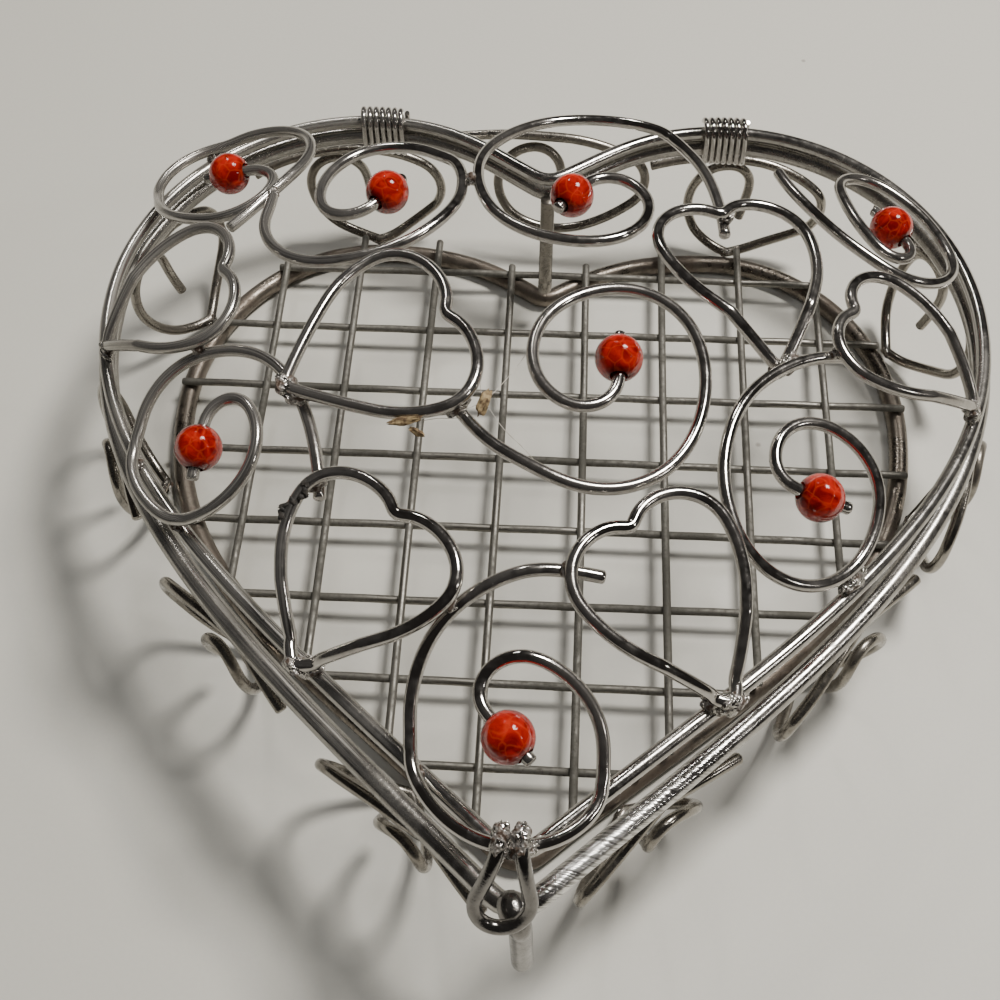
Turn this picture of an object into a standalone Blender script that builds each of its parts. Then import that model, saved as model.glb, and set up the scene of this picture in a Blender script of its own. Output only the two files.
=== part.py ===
"""Heart-shaped wire trinket box with a domed lid of bent scrolls, open hearts and red beads.

The box stands on its bottom ring. The heart's point faces -Y, the two lobes face +Y, where the
lid turns on two wire coils. The lid stands a few degrees open, its clasp resting on the catch.
Sizes below are millimetres and degrees, and solid() turns them to metres.
"""
import bpy
import bmesh
import numpy as np
from mathutils import Matrix, Vector

MM = 0.001
GAP = 0.35

# The heart seen from above, along the top ring's centre line
HALF_WIDTH = 63.3
LOBE_Y = 22.0
LOBE_X = 28.0
BACK_Y = 61.0
CUSP_Y = 49.5
POINT_Y = -63.5
POINT_BEND = 4.0
POINT_SLOPE = 42.0
CUSP_BEND = 3.0
CUSP_SLOPE = 35.0
SIDE_REACH = 33.0
POINT_REACH = 40.0
LOBE_REACH = 13.0
CUSP_REACH = 9.0

# The rings and the flared wall
BOTTOM_WIRE = 3.0
TOP_WIRE = 2.8
LID_WIRE = 2.0
FLARE = 6.5
BACK_FLARE = 5.5
CUSP_FLARE = 3.0
POINT_FLARE = 12.5
LID_INSET = 1.2
LID_POINT_INSET = 2.3
TOP_RING_Z = 23.4
RING_STEPS = 44

# The welded mesh floor
MESH_PITCH = 12.7
MESH_WIRE = 1.2
MESH_BITE = 0.3
MESH_X = -5.8
MESH_Y = -1.3
MESH_OVERRUN = 1.0

# Scrolls, hearts and beads
SCROLL_WIRE = 1.6
SCROLL_SIDES = 5
SCROLL_STEP = 3.5
HALF_HEART_STEPS = 11
BEAD = 6.0
BEAD_HOLE = 2.6
WIRE_PAST_BEAD = 0.9
HEART_HEADING = 60.0
HEART_BENDS = [(2.5, -40), (12.5, -115), (9, -30), (11.5, -6)]
TIP_SLOPE_LENGTH = 9.0

# The heart that the lid's pattern and the curl behind the cusp are drawn for
DRAWN_HALF_WIDTH = 63.3
DRAWN_BACK_Y = 61.0
DRAWN_LENGTH = 124.5

# The dome of the lid, over the lid ring's own plane
DOME_CROWN = 15.0
DOME_POWER = 0.75
DOME_Y = 6.0
DOME_BACK_Y = 64.5

# The hinge and the lid's opening in the rest pose
LID_AJAR = 4.0
COIL_LEFT_IN = 1.2
COIL_TURN_STEPS = 8
COIL_WIRE = 0.9
COIL_TURNS = 6
COIL_PITCH = 1.3
COIL_CLEARANCE = 0.8

# The curls of the wall, evenly placed round the top ring; one of them stands behind the cusp
CURL_WIRE = 1.6
CURL_COUNT = 11
CURL_FIRST = 0.54
CURL_SHARE = 0.78
CURL_BULGE = 4.6
CURL_STEPS = 15
CURL_BENDS = [(5, 0), (7, 90), (10, 95), (7, 60), (12, 45), (8, 15), (9, 120), (12, 20), (20, 15)]
BACK_START = (2.0, 11.0)
BACK_BULGE = 2.5

# The clasp on the lid, in the closed lid's own heights, and the catch on the body
CLASP_WIRE = 1.7
CLASP_SPREAD = 2.6
CLASP_LOOP = 6.0
CLASP_SIDEWAYS = -1.0
CLASP_FLAT = 4.5
CLASP_X = -0.5
CLASP_DROP = 9.4
CLASP_LEAN = 4.4
PRONG_LENGTH = 3.2
CATCH_WIRE = 2.2
CATCH_KNOB = 3.4
CATCH_X = 0.6
CATCH_LOW_Z = 12.5
KNOB_Z = 28.6
POST_WIRE = 2.2
POST_LOW_Z = 7.0
POST_OVER_RING = 1.1


def arc_points(centre, radius, start, end, count):
    """Points on a circle, from one angle to another, in degrees."""
    a = np.radians(np.linspace(start, end, count))
    return np.stack([centre[0] + radius * np.cos(a), centre[1] + radius * np.sin(a)], 1)


def bezier(a, b, c, d, count):
    """Points on a cubic curve from a to d that leaves towards b and arrives from c."""
    t = np.linspace(0.0, 1.0, count)[:, None]
    a, b, c, d = (np.array(p, float) for p in (a, b, c, d))
    return (1 - t) ** 3 * a + 3 * (1 - t) ** 2 * t * b + 3 * (1 - t) * t * t * c + t ** 3 * d


def spaced(path, count, closed=False):
    """The same path with its points at equal distances along it."""
    path = np.asarray(path, float)
    if closed:
        path = np.vstack([path, path[:1]])
    run = np.concatenate([[0.0], np.cumsum(np.linalg.norm(np.diff(path, axis=0), axis=1))])
    at = np.linspace(0.0, run[-1], count + 1 if closed else count)
    if closed:
        at = at[:-1]
    return np.stack([np.interp(at, run, path[:, k]) for k in range(path.shape[1])], 1)


def heart_half(inset, back_inset, cusp_inset, point_inset):
    """The right half of the heart from its point to its cusp, drawn in by the four insets."""
    point = POINT_Y + point_inset
    slope = np.radians(POINT_SLOPE)
    lean = np.radians(CUSP_SLOPE)
    side_x = HALF_WIDTH - inset
    top_y = BACK_Y - back_inset
    cusp = CUSP_Y - cusp_inset
    bend = arc_points((0, point + POINT_BEND), POINT_BEND, -90, -90 + POINT_SLOPE, 6)
    side = bezier(bend[-1], bend[-1] + POINT_REACH * np.array([np.cos(slope), np.sin(slope)]),
                  (side_x, LOBE_Y - SIDE_REACH), (side_x, LOBE_Y), 60)
    a = np.radians(np.linspace(0, 90, 40))[:, None]
    lobe = np.hstack([LOBE_X + (side_x - LOBE_X) * np.cos(a), LOBE_Y + (top_y - LOBE_Y) * np.sin(a)])
    dip = arc_points((0, cusp + CUSP_BEND), CUSP_BEND, -90 + CUSP_SLOPE, -90, 5)
    inner = bezier(lobe[-1], (LOBE_X - LOBE_REACH, top_y),
                   dip[0] + CUSP_REACH * np.array([np.cos(lean), np.sin(lean)]), dip[0], 24)
    return np.vstack([bend, side[1:], lobe[1:], inner[1:], dip[1:]])


def heart(inset, back_inset, cusp_inset, point_inset, count=720):
    """The whole heart, anticlockwise from its point, as points at equal distances."""
    half = heart_half(inset, back_inset, cusp_inset, point_inset)
    right = spaced(half, count // 2 + 1)
    return np.vstack([right, right[1:-1][::-1] * [-1, 1]])


def raised(points, z):
    """Flat points lifted to a height, which may differ from point to point."""
    return np.column_stack([points, np.broadcast_to(z, len(points))])


def outward(outline):
    """The direction straight out of an outline at each of its points."""
    along = np.roll(outline, -1, axis=0) - np.roll(outline, 1, axis=0)
    return np.stack([along[:, 1], -along[:, 0]], 1) / np.linalg.norm(along, axis=1)[:, None]


OUTLINE = heart(0.0, 0.0, 0.0, 0.0)
BOTTOM_OUTLINE = heart(FLARE, BACK_FLARE, CUSP_FLARE, POINT_FLARE)
LID_OUTLINE = heart(LID_INSET, 0.0, LID_INSET, LID_POINT_INSET)
HALF_RUN = np.linalg.norm(np.diff(OUTLINE, axis=0), axis=1)[:len(OUTLINE) // 2].sum()

BOTTOM_RING_Z = BOTTOM_WIRE / 2 * np.cos(np.pi / 8)
MESH_LOW_Z = 2 * BOTTOM_RING_Z + GAP + MESH_WIRE / 2
MESH_HIGH_Z = MESH_LOW_Z + MESH_WIRE - MESH_BITE
HINGE_Y = BACK_Y
HINGE_Z = TOP_RING_Z + (TOP_WIRE + LID_WIRE) / 2 + GAP
DOME_LIFT = LID_WIRE / 2 + SCROLL_WIRE / 2 + GAP + (SCROLL_WIRE + GAP) / 2
LAYER = (SCROLL_WIRE + GAP) / 2


def material(name, colour, roughness, metallic):
    """One surface: a colour, a roughness and a metallic value."""
    made = bpy.data.materials.new(name)
    made.use_nodes = True
    shader = made.node_tree.nodes["Principled BSDF"]
    shader.inputs["Base Color"].default_value = (*colour, 1.0)
    shader.inputs["Roughness"].default_value = roughness
    shader.inputs["Metallic"].default_value = metallic
    return made


def solid(name, vertices, faces, surface):
    """One closed object from points in millimetres, its faces turned outwards."""
    colour, roughness, metallic = surface
    mesh = bpy.data.meshes.new(name)
    mesh.from_pydata((np.asarray(vertices) * MM).tolist(), [], faces)
    shape = bmesh.new()
    shape.from_mesh(mesh)
    bmesh.ops.recalc_face_normals(shape, faces=shape.faces)
    shape.to_mesh(mesh)
    shape.free()
    mesh.shade_smooth()
    mesh.set_sharp_from_angle(angle=np.radians(50))
    made = bpy.data.objects.new(name, mesh)
    made.data.materials.append(material(name, colour, roughness, metallic))
    bpy.context.scene.collection.objects.link(made)
    return made


def tube_mesh(path, width, sides, up, closed=False, flat=False):
    """Points and faces of a wire along a path.

    Each point carries a polygon in the plane across the path, one of its axes near the up
    direction. At a bend the polygon is widened, so that the wire keeps its thickness. The
    width may differ from point to point.
    """
    path = np.asarray(path, float)
    count = len(path)
    if closed:
        ahead = np.roll(path, -1, axis=0) - path
        behind = path - np.roll(path, 1, axis=0)
    else:
        step = np.diff(path, axis=0)
        ahead = np.vstack([step, step[-1:]])
        behind = np.vstack([step[:1], step])
    ahead /= np.linalg.norm(ahead, axis=1)[:, None]
    behind /= np.linalg.norm(behind, axis=1)[:, None]
    along = ahead + behind
    along /= np.linalg.norm(along, axis=1)[:, None]
    widen = 1.0 / np.maximum((along * ahead).sum(1), 0.6)
    up = np.broadcast_to(np.asarray(up, float), path.shape)
    rise = up - (up * along).sum(1)[:, None] * along
    rise /= np.linalg.norm(rise, axis=1)[:, None]
    out = np.cross(along, rise)
    turn = np.pi / sides if flat else 0.0
    a = np.pi / 2 + turn + 2 * np.pi * np.arange(sides) / sides
    radius = np.broadcast_to(np.asarray(width) / 2, count)[:, None, None]
    ring = path[:, None] + radius * (np.sin(a)[None, :, None] * rise[:, None]
                                     + np.cos(a)[None, :, None] * (out * widen[:, None])[:, None])
    points = ring.reshape(-1, 3)
    rows = count if closed else count - 1
    faces = []
    for i in range(rows):
        j = (i + 1) % count
        for k in range(sides):
            m = (k + 1) % sides
            faces.append((i * sides + k, i * sides + m, j * sides + m, j * sides + k))
    if not closed:
        faces.append(tuple(range(sides))[::-1])
        faces.append(tuple((count - 1) * sides + k for k in range(sides)))
    return points, faces


CHROME = ((0.72, 0.72, 0.70), 0.22, 1.0)
AGED_CHROME = ((0.52, 0.50, 0.46), 0.34, 1.0)
RED_ACRYLIC = ((0.80, 0.08, 0.04), 0.12, 0.0)


def wire(name, path, width, sides, up, surface, closed=False, flat=False):
    """One bent wire as an object of its own."""
    points, faces = tube_mesh(path, width, sides, up, closed, flat)
    return solid(name, points, faces, surface)


def bent(start, heading, bends, step=0.5):
    """The line of a wire that runs straight or turns evenly over each (length, turn) in a list.

    The heading is the running sum of the turns, and the place is the running sum of the steps.
    """
    runs = [(max(int(np.ceil(length / step)), 1), length, turn) for length, turn in bends]
    move = np.concatenate([np.full(n, length / n) for n, length, turn in runs])
    turns = np.radians(np.concatenate([np.full(n, turn / n) for n, length, turn in runs]))
    face = np.radians(heading) + np.cumsum(turns) - turns / 2
    line = np.cumsum(np.stack([np.cos(face), np.sin(face)], 1) * move[:, None], axis=0)
    return np.vstack([start, line + start])


# The dome: a height over the lid ring's plane for each place on it

POLAR = np.arctan2(LID_OUTLINE[:, 1] - DOME_Y, LID_OUTLINE[:, 0])
ORDER = np.argsort(POLAR)
RIM_ANGLE = POLAR[ORDER]
RIM_REACH = np.hypot(LID_OUTLINE[:, 0], LID_OUTLINE[:, 1] - DOME_Y)[ORDER]


def dome_height(x, y):
    """The lift over the ring, and a crown that falls to nothing at the heart's outline.

    Between the lobes the dome runs on over the cusp to a straight back edge.
    """
    angle = np.arctan2(y - DOME_Y, x)
    reach = np.interp(angle, RIM_ANGLE, RIM_REACH, period=2 * np.pi)
    back = DOME_BACK_Y - DOME_Y
    corner = np.arctan2(back, LOBE_X)
    between = (angle > corner) & (angle < np.pi - corner)
    straight = np.where(between, back / np.maximum(np.sin(angle), 0.2), 0.0)
    share = np.hypot(x, y - DOME_Y) / np.maximum(reach, straight)
    return DOME_LIFT + DOME_CROWN * np.maximum(1.0 - share ** 2, 0.0) ** DOME_POWER


def dome_normal(x, y):
    """The direction straight out of the dome, from the slope over a millimetre."""
    half = 0.5
    slope_x = dome_height(x + half, y) - dome_height(x - half, y)
    slope_y = dome_height(x, y + half) - dome_height(x, y - half)
    steep = np.maximum(np.hypot(slope_x, slope_y) / 1.5, 1.0)
    normal = np.stack([-slope_x / steep, -slope_y / steep, np.ones_like(steep)], 1)
    return normal / np.linalg.norm(normal, axis=1)[:, None]


def opened(points):
    """Points of the closed lid, whose plane is height 0, turned up about the hinge line."""
    points = np.asarray(points, float)
    turn = np.radians(LID_AJAR)
    y = points[:, 1] - HINGE_Y
    z = points[:, 2]
    return np.stack([points[:, 0], HINGE_Y + y * np.cos(turn) + z * np.sin(turn),
                     HINGE_Z - y * np.sin(turn) + z * np.cos(turn)], 1)


def on_dome(flat, height):
    """A flat line laid over the dome at a height along its normal, on the opened lid."""
    x, y = flat[:, 0], flat[:, 1]
    normal = dome_normal(x, y)
    base = np.column_stack([flat, dome_height(x, y)])
    return opened(base + normal * np.reshape(height, (-1, 1))), normal


def fitted(flat):
    """The lid's pattern stretched from the heart that it is drawn for to this one."""
    x = flat[:, 0] * HALF_WIDTH / DRAWN_HALF_WIDTH
    y = BACK_Y + (flat[:, 1] - DRAWN_BACK_Y) * (BACK_Y - POINT_Y) / DRAWN_LENGTH
    return np.column_stack([x, y])


def bead(name, centre, axis):
    """A round bead with a straight hole along the wire, turned about that axis."""
    axis = axis / np.linalg.norm(axis)
    side = np.cross(axis, [0.0, 0.0, 1.0])
    side /= np.linalg.norm(side)
    other = np.cross(axis, side)
    radius = BEAD / 2
    mouth = np.arcsin(BEAD_HOLE / BEAD)
    a = np.linspace(mouth, np.pi - mouth, 5)
    along = radius * np.cos(a)
    away = radius * np.sin(a)
    turns = 9
    around = 2 * np.pi * np.arange(turns) / turns
    ring = (side * np.cos(around)[:, None] + other * np.sin(around)[:, None])
    points = centre + along[None, :, None] * axis + away[None, :, None] * ring[:, None]
    rows = len(a)
    faces = []
    for i in range(turns):
        j = (i + 1) % turns
        for k in range(rows):
            m = (k + 1) % rows
            faces.append((i * rows + k, i * rows + m, j * rows + m, j * rows + k))
    return solid(name, points.reshape(-1, 3), faces, RED_ACRYLIC)


def lid_scroll(number, start, heading, bends):
    """A scroll of the lid: straight through its bead, then round its bends, with the bead."""
    inside = BEAD / 2 + GAP
    before = BEAD / 2 + WIRE_PAST_BEAD
    way = np.array([np.cos(np.radians(heading)), np.sin(np.radians(heading))])
    line = fitted(bent(start - before * way, heading, [(before + inside, 0)] + bends))
    length = np.linalg.norm(np.diff(line, axis=0), axis=1).sum()
    flat = spaced(line, int(round(length / SCROLL_STEP)) + 1)
    path, normal = on_dome(flat, -LAYER)
    middle, out = on_dome(fitted(np.array([start - 0.5 * way, start, start + 0.5 * way])), -LAYER)
    axis = middle[2] - middle[0]
    straight = np.linalg.norm(path - middle[1], axis=1) < inside
    axis = axis / np.linalg.norm(axis)
    path[straight] = middle[1] + ((path[straight] - middle[1]) @ axis)[:, None] * axis
    wire(f"lid_scroll_{number}", path, SCROLL_WIRE, SCROLL_SIDES, normal, CHROME)
    bead(f"bead_{number}", middle[1], axis)


def lid_heart(number, notch, turn, wide, tall, tip_drop):
    """An open heart of the lid, notched end at a place on the dome and its tip let down."""
    half = bent(np.zeros(2), HEART_HEADING, HEART_BENDS)
    half[:, 0] *= wide
    half[:, 1] *= tall
    half[-1, 0] = 0.0
    outline = np.vstack([half[::-1], (half * [-1, 1])[1:-1]])
    tip = outline[0]
    c, s = np.cos(np.radians(turn)), np.sin(np.radians(turn))
    first = spaced(outline[:len(half)], HALF_HEART_STEPS)
    second = first[::-1][1:-1] * [-1, 1]
    loop = np.vstack([first, second])
    near = np.clip(1.0 - np.linalg.norm(loop - tip, axis=1) / TIP_SLOPE_LENGTH, 0.0, 1.0)
    placed = np.stack([notch[0] + loop[:, 0] * c - loop[:, 1] * s,
                       notch[1] + loop[:, 0] * s + loop[:, 1] * c], 1)
    path, normal = on_dome(fitted(placed), LAYER - tip_drop * near)
    wire(f"lid_heart_{number}", path, SCROLL_WIRE, SCROLL_SIDES, normal, CHROME, closed=True)


def make_rings():
    """The bottom ring with flat undersides, the top ring, and the lid ring on its own plane."""
    bottom = raised(spaced(BOTTOM_OUTLINE, RING_STEPS, True), BOTTOM_RING_Z)
    wire("bottom_ring", bottom, BOTTOM_WIRE, 8, (0, 0, 1), AGED_CHROME, closed=True, flat=True)
    line = spaced(OUTLINE, RING_STEPS, True)
    wire("top_ring", raised(line, TOP_RING_Z), TOP_WIRE, 6, (0, 0, 1), CHROME, closed=True)
    line = spaced(LID_OUTLINE, RING_STEPS, True)
    wire("lid_ring", opened(raised(line, 0.0)), LID_WIRE, 6, (0, 0, 1), CHROME, closed=True)


def crossings(ring, axis, place):
    """Where a straight mesh wire enters and leaves the bottom ring, lowest and highest."""
    other = 1 - axis
    after = np.roll(ring, -1, axis=0)
    crosses = (ring[:, axis] - place) * (after[:, axis] - place) <= 0
    a, b = ring[crosses], after[crosses]
    share = (place - a[:, axis]) / np.where(b[:, axis] == a[:, axis], 1.0, b[:, axis] - a[:, axis])
    found = a[:, other] + share * (b[:, other] - a[:, other])
    return found


def make_floor():
    """The mesh panel: two layers of crossing wires that bite into each other, joined as one."""
    ring = BOTTOM_OUTLINE
    layers = []
    for axis, centre, height in ((0, MESH_X, MESH_HIGH_Z), (1, MESH_Y, MESH_LOW_Z)):
        points, faces = [], []
        reach = int(HALF_WIDTH / MESH_PITCH) + 1
        for number in range(-reach, reach + 1):
            place = centre + number * MESH_PITCH
            ends = crossings(ring, axis, place)
            if len(ends) < 2 or ends.max() - ends.min() < 2 * MESH_PITCH:
                continue
            low, high = ends.min() - MESH_OVERRUN, ends.max() + MESH_OVERRUN
            line = np.array([[place, low, height], [place, high, height]])
            if axis == 1:
                line = line[:, [1, 0, 2]]
            new_points, new_faces = tube_mesh(line, MESH_WIRE, 6, (0, 0, 1))
            first = sum(len(p) for p in points)
            points.append(new_points)
            faces += [tuple(first + k for k in face) for face in new_faces]
        layers.append(solid("floor_mesh" if axis == 0 else "mesh_cross_wires",
                            np.vstack(points), faces, AGED_CHROME))
    panel, cross = layers
    cross.hide_render = True
    cross.display_type = "WIRE"
    weld = panel.modifiers.new("weld", "BOOLEAN")
    weld.operation = "UNION"
    weld.solver = "EXACT"
    weld.object = cross


def wall_heights():
    """The lowest and highest centre of a wall wire: by the bottom ring, and under the top ring."""
    high = TOP_RING_Z - (TOP_WIRE + CURL_WIRE) / 2 - GAP
    return BOTTOM_RING_Z + CURL_WIRE / 2, high


def wall_point(run, z):
    """A place on the flared wall: a distance along the top ring from the point, and a height.

    The wall leads from beside the bottom ring to under the top ring, and bulges between them.
    """
    low_z, high_z = wall_heights()
    share = ((z - low_z) / (high_z - low_z))[:, None]
    at = (run / HALF_RUN * (len(OUTLINE) // 2)) % len(OUTLINE)
    foot = BOTTOM_OUTLINE + outward(BOTTOM_OUTLINE) * ((BOTTOM_WIRE + CURL_WIRE) / 2 + GAP)
    swell = outward(OUTLINE) * CURL_BULGE
    index = np.arange(len(OUTLINE))
    low, high, out = (np.stack([np.interp(at, index, line[:, k], period=len(OUTLINE))
                                for k in (0, 1)], 1) for line in (foot, OUTLINE, swell))
    return np.column_stack([low * (1 - share) + high * share + out * np.sqrt(np.sin(np.pi * share)), z])


def wall_curl(name, middle, length, headroom):
    """A curl in the wall, as high as the wall and a headroom under the top ring allow."""
    line = bent(np.zeros(2), 90, CURL_BENDS) * [-1, 1]
    line = (line - line.min(0)) / (line.max(0) - line.min(0))
    low_z, high_z = wall_heights()
    run = middle + (line[:, 0] - 0.5) * length
    z = low_z + line[:, 1] * (high_z - headroom - low_z)
    points = spaced(wall_point(run, z), CURL_STEPS)
    centre = np.array([0.0, DOME_Y, TOP_RING_Z / 2])
    wire(name, points, CURL_WIRE, SCROLL_SIDES, points - centre, AGED_CHROME)


def back_curl(name):
    """The flat curl behind the cusp, in a straight wall from lobe to lobe."""
    line = bent(np.array(BACK_START), 90, CURL_BENDS)
    line[:, 0] *= HALF_WIDTH / DRAWN_HALF_WIDTH
    low_z = wall_heights()[0]
    share = (line[:, 1] - low_z) / (TOP_RING_Z - low_z)
    y = BACK_Y - BACK_FLARE * (1 - share) + BACK_BULGE * np.sin(np.pi / 2 * share)
    points = spaced(np.column_stack([line[:, 0], y, line[:, 1]]), CURL_STEPS + 6)
    wire(name, points, CURL_WIRE, SCROLL_SIDES, (0, 1, 0.2), AGED_CHROME)


def make_walls():
    """The curls, all wound the same way; the middle one of them stands behind the cusp.

    Its two neighbours leave room under the top ring for the hinge coils.
    """
    middle = CURL_COUNT // 2
    pitch = 2 * HALF_RUN / CURL_COUNT
    for number in range(CURL_COUNT):
        name = f"wall_curl_{number + 1}"
        if number == middle:
            back_curl(name)
        else:
            headroom = COIL_CLEARANCE + COIL_WIRE if abs(number - middle) == 1 else 0.0
            wall_curl(name, (CURL_FIRST + number) * pitch, CURL_SHARE * pitch, headroom)


def hinge_coil(name, x):
    """A coil of thin wire round the top ring and the lid ring, turned about the hinge line.

    Seen along the hinge it is two half circles round the two rings, joined by straight sides.
    Its turns follow the bow of the lobe.
    """
    steps = COIL_TURN_STEPS * COIL_TURNS
    a = 2 * np.pi * (np.arange(steps + 1) + 0.5) / COIL_TURN_STEPS
    upper = np.sin(a) >= 0
    radius = np.where(upper, LID_WIRE, TOP_WIRE) / 2 + COIL_CLEARANCE + COIL_WIRE / 2
    middle = np.where(upper, HINGE_Z, TOP_RING_Z)
    along = x + COIL_PITCH * (a - a[0]) / (2 * np.pi) - COIL_PITCH * COIL_TURNS / 2
    off = (np.abs(along) - LOBE_X) / (HALF_WIDTH - LOBE_X)
    y = LOBE_Y + (HINGE_Y - LOBE_Y) * np.sqrt(1.0 - off ** 2) + radius * np.cos(a)
    path = np.stack([along, y, middle + radius * np.sin(a)], 1)
    wire(name, path, COIL_WIRE, 4, (1, 0, 0), CHROME)


def make_posts():
    """The catch at the point, a post that ends in a knob over the ring, and the cusp's post."""
    y = POINT_Y - (TOP_WIRE + CATCH_WIRE) / 2 - 2 * GAP
    low, high = (CATCH_X, y, CATCH_LOW_Z), (0, y, KNOB_Z - CATCH_KNOB)
    turn = bezier(high, (0, y, KNOB_Z), (0, y, KNOB_Z), (-CATCH_X, POINT_Y, KNOB_Z), 6)
    width = np.concatenate([[CATCH_WIRE] * 3, np.linspace(CATCH_WIRE, CATCH_KNOB, 4)])
    wire("catch_post", np.vstack([low, turn]), width, 8, (1, 0, 0), CHROME)
    low = CUSP_Y - CUSP_FLARE - (BOTTOM_WIRE + POST_WIRE) / 2 - GAP
    high = CUSP_Y - (TOP_WIRE + POST_WIRE) / 2 - GAP
    top_z = TOP_RING_Z + POST_OVER_RING
    rise = bezier((0, low, POST_LOW_Z), (0, low, top_z / 2), (0, high, top_z / 2), (0, high, top_z), 6)
    wire("cusp_post", rise, POST_WIRE, 8, (1, 0, 0), AGED_CHROME)


def make_clasp():
    """A hairpin: two prongs lying on the lid's front, and a round loop hanging over the catch."""
    front = POINT_Y
    a = np.radians(np.linspace(20, -90, 6))
    half = CLASP_LOOP / 2
    loop_x = half * np.cos(a)
    down = CLASP_DROP - half + half * -np.sin(a)
    loop = np.stack([loop_x, front - CLASP_LEAN * down / CLASP_DROP, CLASP_FLAT - down], 1)
    spread = CLASP_SPREAD / 2
    prong = np.array([(spread, front + PRONG_LENGTH, CLASP_FLAT), (spread, front + 1.0, CLASP_FLAT),
                      (spread, front, CLASP_FLAT - 0.6)])
    right = np.vstack([prong, loop])
    line = np.vstack([right, right[:-1][::-1] * [-1, 1, 1]])
    line[:, 0] += CLASP_X + CLASP_SIDEWAYS * (CLASP_FLAT - line[:, 2]) / CLASP_DROP
    out = np.tile([0.0, -CLASP_DROP, CLASP_LEAN], (len(line), 1))
    out[:2] = out[-2:] = (0, 0, 1)
    wire("clasp_loop", opened(line), CLASP_WIRE, 6, out, CHROME)


def make_lid():
    """The scrolls with their beads, and the hearts, over the dome."""
    lid_scroll(1, (-47.0, 37.5), -5, [(9.5, -110), (10, -80), (16, -60), (13.5, -70),
                                      (19, -85), (11.5, -65), (15.5, -15)])
    lid_scroll(2, (-22.0, 27.0), -120, [(9, -130), (11.5, -55), (15, -95), (15.5, -70),
                                        (21, -75), (18.5, -100)])
    lid_scroll(3, (3.5, 26.5), 60, [(7.5, -105), (17, -120), (19, -80), (25.5, -75),
                                    (26, -105), (23, -25)])
    lid_scroll(4, (49.0, 30.0), -55, [(8.5, -180), (13, -30), (11, -125), (15.5, -50),
                                      (18, -130), (22.5, -45)])
    lid_scroll(5, (10.0, -4.0), -90, [(9.5, -120), (8.5, -60), (17.5, -85), (12.5, -75),
                                      (19.5, -55), (16.5, -75), (17, -40)])
    lid_scroll(6, (-42.5, -13.5), 85, [(7, -130), (11.5, -80), (10, -80), (14.5, -65),
                                       (15, -90), (14.5, -60), (17, -25)])
    lid_scroll(7, (35.0, -18.5), 175, [(3.5, -75), (10, -95), (13.5, -100), (14.5, -60),
                                       (13.5, -95), (18, -55), (17, -45)])
    lid_scroll(8, (-1.5, -52.0), 140, [(7.5, -125), (11.5, -65), (12, -80), (12.5, -70),
                                       (16, -65), (18, -75), (13, -25)])
    lid_heart(1, (-42.5, 12.0), -75, 1.05, 0.82, 1.9)
    lid_heart(2, (-12.0, 0.5), -65, 1.29, 0.94, 0.0)
    lid_heart(3, (-15.5, -27.0), -39, 1.15, 0.81, 1.9)
    lid_heart(4, (11.5, -28.0), 39, 1.03, 0.89, 1.9)
    lid_heart(5, (23.5, 21.5), 19, 1.02, 1.07, 3.8)
    lid_heart(6, (40.5, 8.0), 71, 0.88, 0.84, 1.9)


def centred():
    """Every piece moved as one, so that the middle of the whole footprint is over the origin."""
    pieces = [item for item in bpy.data.objects if not item.hide_render]
    corners = np.array([vertex.co for item in pieces for vertex in item.data.vertices])
    middle = (corners.min(0) + corners.max(0)) / 2
    shift = Vector((-middle[0], -middle[1], 0.0))
    for item in bpy.data.objects:
        item.data.transform(Matrix.Translation(shift))
    return shift


def hang_lid(shift):
    """Each piece of the lid with its origin on the hinge line."""
    hinge = Vector((0.0, HINGE_Y * MM, HINGE_Z * MM)) + shift
    for item in bpy.data.objects:
        if item.name.startswith(("lid_", "bead_", "clasp_")):
            item.data.transform(Matrix.Translation(-hinge))
            item.location = hinge


def main():
    """Clear the scene and make every piece."""
    for old in list(bpy.data.objects):
        bpy.data.objects.remove(old, do_unlink=True)
    make_rings()
    make_floor()
    make_walls()
    hinge_coil("hinge_coil_right", LOBE_X)
    hinge_coil("hinge_coil_left", COIL_LEFT_IN - LOBE_X)
    make_posts()
    make_lid()
    make_clasp()
    hang_lid(centred())


main()
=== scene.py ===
"""The looks of the heart-shaped wire trinket box: plated wires, solder, red beads and the table.

Every wire is a circle carried along the same line that its solid follows. Lines are worked out in
millimetres and degrees in the heart's own frame; PLACE moves them to the box's frame.
"""

import bpy
import numpy as np
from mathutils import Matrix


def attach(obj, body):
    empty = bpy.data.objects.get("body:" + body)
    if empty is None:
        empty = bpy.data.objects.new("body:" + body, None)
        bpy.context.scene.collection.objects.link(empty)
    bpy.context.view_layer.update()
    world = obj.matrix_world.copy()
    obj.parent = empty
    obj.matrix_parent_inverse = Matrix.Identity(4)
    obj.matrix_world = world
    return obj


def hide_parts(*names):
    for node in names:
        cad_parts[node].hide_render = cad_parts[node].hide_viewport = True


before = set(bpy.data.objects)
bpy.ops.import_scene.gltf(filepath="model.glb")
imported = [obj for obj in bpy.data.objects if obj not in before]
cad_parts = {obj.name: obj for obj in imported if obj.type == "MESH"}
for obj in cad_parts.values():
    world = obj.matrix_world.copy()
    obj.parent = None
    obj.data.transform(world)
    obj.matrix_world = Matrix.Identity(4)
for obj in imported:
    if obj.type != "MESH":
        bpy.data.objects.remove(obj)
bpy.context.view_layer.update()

MM = 0.001
PLACE = np.array([-0.066, 1.834, 0.0])
SHARP_ANGLE = 50
END_BEVEL, END_SHARE, UV_LENGTH = 0.18, 0.8, 10
WORN_FADE = 0.02
LID_WAVER, WALL_WAVER = 0.07, 0.08

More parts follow.
